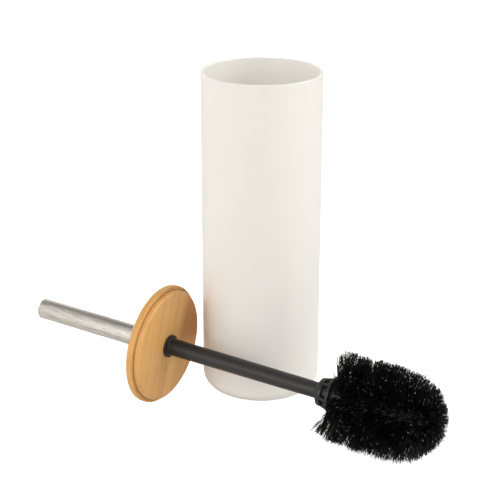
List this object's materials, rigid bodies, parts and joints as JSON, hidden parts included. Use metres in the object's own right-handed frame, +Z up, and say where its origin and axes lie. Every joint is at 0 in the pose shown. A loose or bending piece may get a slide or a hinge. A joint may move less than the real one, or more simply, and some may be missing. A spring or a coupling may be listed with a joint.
{
  "type": "toilet brush holder",
  "caption": "Tall round toilet brush cup with its brush lying beside it: steel handle, wooden lid, tapered black rod and a domed screw-on bristle head.",
  "frame": {"origin": "centre of the cup's underside, on the floor that it stands on", "axes": "+Z up along the cup's axis; +X level, with the brush lying on the -Y side of the cup, its handle towards -X and its bristles towards +X"},
  "size_m": [0.3378, 0.2277, 0.2752],
  "materials": {
    "cream_plastic": "satin",
    "lacquered_bamboo": "satin",
    "zinc_plated_steel": "satin",
    "brushed_steel": "satin",
    "natural_nylon": "matte",
    "rod_plastic": "satin",
    "head_plastic": "satin",
    "bristles": "matte"
  },
  "bodies": {
    "holder": {"holder_cup": "cream_plastic"},
    "brush": {"lid": "lacquered_bamboo", "rod": "rod_plastic"},
    "handle_thread": {"joining_stud": "zinc_plated_steel"},
    "handle": {"handle_tube": "brushed_steel", "handle_end_cap": "brushed_steel", "handle_insert": "natural_nylon"},
    "head_thread": {"head_stud": "zinc_plated_steel"},
    "head": {"head_core": "head_plastic", "bristle_row_01": "bristles", "bristle_row_02": "bristles", "bristle_row_03": "bristles", "bristle_row_04": "bristles", "bristle_row_05": "bristles", "bristle_row_06": "bristles", "bristle_row_07": "bristles", "bristle_row_08": "bristles", "bristle_row_09": "bristles", "bristle_row_10": "bristles", "bristle_row_11": "bristles", "bristle_crown": "bristles"}
  },
  "joints": [
    {"name": "brush_lift", "type": "slide", "parent": "holder", "child": "brush", "axis": [0, 0, 1], "range_m": [0, 0.3]},
    {"name": "handle_unscrew", "type": "hinge", "parent": "brush", "child": "handle_thread", "pos_m": [-0.08636, -0.03273, 0.05052], "axis": [-0.8704, 0.4885, 0.0611], "range_deg": [0, 3600]},
    {"name": "handle_back_off", "type": "slide", "parent": "handle_thread", "child": "handle", "axis": [-0.8704, 0.4885, 0.0611], "range_m": [0, 0.0125]},
    {"name": "head_unscrew", "type": "hinge", "parent": "brush", "child": "head_thread", "pos_m": [0.0463, -0.10717, 0.0412], "axis": [0.8704, -0.4885, -0.0611], "range_deg": [0, 4320]},
    {"name": "head_back_off", "type": "slide", "parent": "head_thread", "child": "head", "axis": [0.8704, -0.4885, -0.0611], "range_m": [0, 0.012]}
  ],
  "couplings": [
    {"joint": "handle_back_off", "follows": "handle_unscrew", "m_per_rad": 0.00019894},
    {"joint": "head_back_off", "follows": "head_unscrew", "m_per_rad": 0.00015915}
  ]
}
